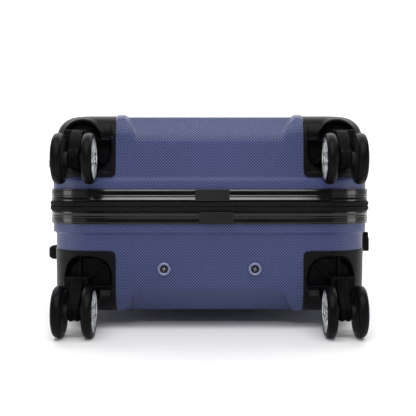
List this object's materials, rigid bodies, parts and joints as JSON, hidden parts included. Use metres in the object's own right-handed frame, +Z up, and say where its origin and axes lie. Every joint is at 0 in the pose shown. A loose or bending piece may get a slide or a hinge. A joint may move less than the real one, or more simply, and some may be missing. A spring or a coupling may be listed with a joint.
{
  "type": "hard shell suitcase",
  "caption": "Hard shell cabin suitcase with zipped halves, swivelling twin-wheel casters, telescopic trolley handle, carry handles and a combination lock, lying on its back.",
  "frame": {"origin": "bottom centre of the whole case, under its lowest point, with the case lying on its back", "axes": "+X across the case to the side with the lock and side handle, +Y along the case to the trolley handle, +Z up through the front face"},
  "size_m": [0.364, 0.5412, 0.231],
  "materials": {
    "shell_navy": "moulded sheet with a fine woven grain, satin navy blue",
    "rim_black": "gloss black ribbed extrusion",
    "black_plastic": "fine grained semi-matte black moulding",
    "grey_plastic": "matte dark grey moulding",
    "tyre_black": "soft black polyurethane tread",
    "hub_silver": "silver painted spokes",
    "black_tape": "woven black nylon",
    "aluminium": "satin anodised tube",
    "steel": "dark plated steel"
  },
  "bodies": {
    "back_half": {"back_shell": "shell_navy", "back_rim": "rim_black", "back_rim_joiner": "black_plastic", "back_zip_tape": "black_tape", "housing_back_left": "black_plastic", "housing_back_right": "black_plastic", "trolley_bezel": "black_plastic", "trolley_foot_bracket": "grey_plastic", "trolley_outer_tube_left": "aluminium", "trolley_outer_tube_right": "aluminium", "trolley_screw_left": "steel", "trolley_screw_right": "steel", "side_handle_base": "black_plastic", "top_handle_base": "black_plastic", "lock_body": "black_plastic", "side_foot_back_lower": "black_plastic", "side_foot_back_upper": "black_plastic"},
    "hinge_strip": {"hinge_fabric": "black_tape"},
    "front_half": {"front_shell": "shell_navy", "front_rim": "rim_black", "front_rim_joiner": "black_plastic", "front_zip_tape": "black_tape", "housing_front_left": "black_plastic", "housing_front_right": "black_plastic", "side_foot_front_lower": "black_plastic", "side_foot_front_upper": "black_plastic"},
    "trolley_mid_stage": {"trolley_mid_tube_left": "aluminium", "trolley_mid_tube_right": "aluminium"},
    "trolley_handle": {"trolley_inner_tube_left": "aluminium", "trolley_inner_tube_right": "aluminium", "trolley_grip": "black_plastic"},
    "trolley_button": {"grip_button": "grey_plastic"},
    "side_grip": {"side_handle_grip": "black_plastic"},
    "top_grip": {"top_handle_grip": "black_plastic"},
    "lock_dial_1": {"lock_dial_1": "grey_plastic"},
    "lock_dial_2": {"lock_dial_2": "grey_plastic"},
    "lock_dial_3": {"lock_dial_3": "grey_plastic"},
    "lock_release": {"lock_release": "grey_plastic"},
    "zip_slider_lower": {"zip_slider_lower": "steel"},
    "zip_slider_upper": {"zip_slider_upper": "steel"},
    "caster_front_left": {"caster_fork_front_left": "black_plastic"},
    "wheel_front_left_inner": {"tyre_front_left_inner": "tyre_black", "hub_front_left_inner": "hub_silver"},
    "wheel_front_left_outer": {"tyre_front_left_outer": "tyre_black", "hub_front_left_outer": "hub_silver"},
    "caster_front_right": {"caster_fork_front_right": "black_plastic"},
    "wheel_front_right_inner": {"tyre_front_right_inner": "tyre_black", "hub_front_right_inner": "hub_silver"},
    "wheel_front_right_outer": {"tyre_front_right_outer": "tyre_black", "hub_front_right_outer": "hub_silver"},
    "caster_back_left": {"caster_fork_back_left": "black_plastic"},
    "wheel_back_left_inner": {"tyre_back_left_inner": "tyre_black", "hub_back_left_inner": "hub_silver"},
    "wheel_back_left_outer": {"tyre_back_left_outer": "tyre_black", "hub_back_left_outer": "hub_silver"},
    "caster_back_right": {"caster_fork_back_right": "black_plastic"},
    "wheel_back_right_inner": {"tyre_back_right_inner": "tyre_black", "hub_back_right_inner": "hub_silver"},
    "wheel_back_right_outer": {"tyre_back_right_outer": "tyre_black", "hub_back_right_outer": "hub_silver"}
  },
  "joints": [
    {"name": "hinge_strip_fold", "type": "hinge", "parent": "back_half", "child": "hinge_strip", "pos_m": [-0.177, 0.02073, 0.1271], "axis": [0, -1, 0], "range_deg": [0, 90]},
    {"name": "front_half_fold", "type": "hinge", "parent": "hinge_strip", "child": "front_half", "pos_m": [-0.177, 0.02073, 0.1381], "axis": [0, -1, 0], "range_deg": [0, 90]},
    {"name": "trolley_mid_slide", "type": "slide", "parent": "back_half", "child": "trolley_mid_stage", "axis": [0, 1, 0], "range_m": [0, 0.235]},
    {"name": "trolley_handle_slide", "type": "slide", "parent": "trolley_mid_stage", "child": "trolley_handle", "axis": [0, 1, 0], "range_m": [0, 0.235]},
    {"name": "trolley_button_press", "type": "slide", "parent": "trolley_handle", "child": "trolley_button", "axis": [0, -1, 0], "range_m": [0, 0.003], "stiffness_N_per_m": 600, "springref_m": -0.001},
    {"name": "side_grip_pull", "type": "slide", "parent": "back_half", "child": "side_grip", "axis": [1, 0, 0], "range_m": [0, 0.01], "stiffness_N_per_m": 250, "springref_m": -0.003},
    {"name": "top_grip_pull", "type": "slide", "parent": "back_half", "child": "top_grip", "axis": [0, 1, 0], "range_m": [0, 0.01], "stiffness_N_per_m": 250, "springref_m": -0.003},
    {"name": "lock_dial_1_turn", "type": "hinge", "parent": "back_half", "child": "lock_dial_1", "pos_m": [0.1764, -0.12927, 0.0876], "axis": [0, 1, 0], "continuous": true},
    {"name": "lock_dial_2_turn", "type": "hinge", "parent": "back_half", "child": "lock_dial_2", "pos_m": [0.1764, -0.12227, 0.0876], "axis": [0, 1, 0], "continuous": true},
    {"name": "lock_dial_3_turn", "type": "hinge", "parent": "back_half", "child": "lock_dial_3", "pos_m": [0.1764, -0.11527, 0.0876], "axis": [0, 1, 0], "continuous": true},
    {"name": "lock_release_slide", "type": "slide", "parent": "back_half", "child": "lock_release", "axis": [0, 1, 0], "range_m": [0, 0.004], "stiffness_N_per_m": 400, "springref_m": -0.001},
    {"name": "zip_slider_lower_run", "type": "slide", "parent": "back_half", "child": "zip_slider_lower", "axis": [0, -1, 0], "range_m": [0, 0.04]},
    {"name": "zip_slider_upper_run", "type": "slide", "parent": "back_half", "child": "zip_slider_upper", "axis": [0, 1, 0], "range_m": [0, 0.3]},
    {"name": "caster_front_left_swivel", "type": "hinge", "parent": "front_half", "child": "caster_front_left", "pos_m": [-0.138, -0.21617, 0.2026], "axis": [0, 1, 0], "continuous": true},
    {"name": "wheel_front_left_inner_spin", "type": "hinge", "parent": "caster_front_left", "child": "wheel_front_left_inner", "pos_m": [-0.138, -0.24417, 0.1824], "axis": [1, 0, 0], "continuous": true},
    {"name": "wheel_front_left_outer_spin", "type": "hinge", "parent": "caster_front_left", "child": "wheel_front_left_outer", "pos_m": [-0.138, -0.24417, 0.1824], "axis": [1, 0, 0], "continuous": true},
    {"name": "caster_front_right_swivel", "type": "hinge", "parent": "front_half", "child": "caster_front_right", "pos_m": [0.138, -0.21617, 0.2026], "axis": [0, 1, 0], "continuous": true},
    {"name": "wheel_front_right_inner_spin", "type": "hinge", "parent": "caster_front_right", "child": "wheel_front_right_inner", "pos_m": [0.138, -0.24417, 0.1824], "axis": [1, 0, 0], "continuous": true},
    {"name": "wheel_front_right_outer_spin", "type": "hinge", "parent": "caster_front_right", "child": "wheel_front_right_outer", "pos_m": [0.138, -0.24417, 0.1824], "axis": [1, 0, 0], "continuous": true},
    {"name": "caster_back_left_swivel", "type": "hinge", "parent": "back_half", "child": "caster_back_left", "pos_m": [-0.138, -0.21617, 0.0466], "axis": [0, 1, 0], "continuous": true},
    {"name": "wheel_back_left_inner_spin", "type": "hinge", "parent": "caster_back_left", "child": "wheel_back_left_inner", "pos_m": [-0.138, -0.24417, 0.0264], "axis": [1, 0, 0], "continuous": true},
    {"name": "wheel_back_left_outer_spin", "type": "hinge", "parent": "caster_back_left", "child": "wheel_back_left_outer", "pos_m": [-0.138, -0.24417, 0.0264], "axis": [1, 0, 0], "continuous": true},
    {"name": "caster_back_right_swivel", "type": "hinge", "parent": "back_half", "child": "caster_back_right", "pos_m": [0.138, -0.21617, 0.0466], "axis": [0, 1, 0], "continuous": true},
    {"name": "wheel_back_right_inner_spin", "type": "hinge", "parent": "caster_back_right", "child": "wheel_back_right_inner", "pos_m": [0.138, -0.24417, 0.0264], "axis": [1, 0, 0], "continuous": true},
    {"name": "wheel_back_right_outer_spin", "type": "hinge", "parent": "caster_back_right", "child": "wheel_back_right_outer", "pos_m": [0.138, -0.24417, 0.0264], "axis": [1, 0, 0], "continuous": true}
  ],
  "couplings": [
    {"joint": "front_half_fold", "follows": "hinge_strip_fold", "ratio": 1}
  ]
}
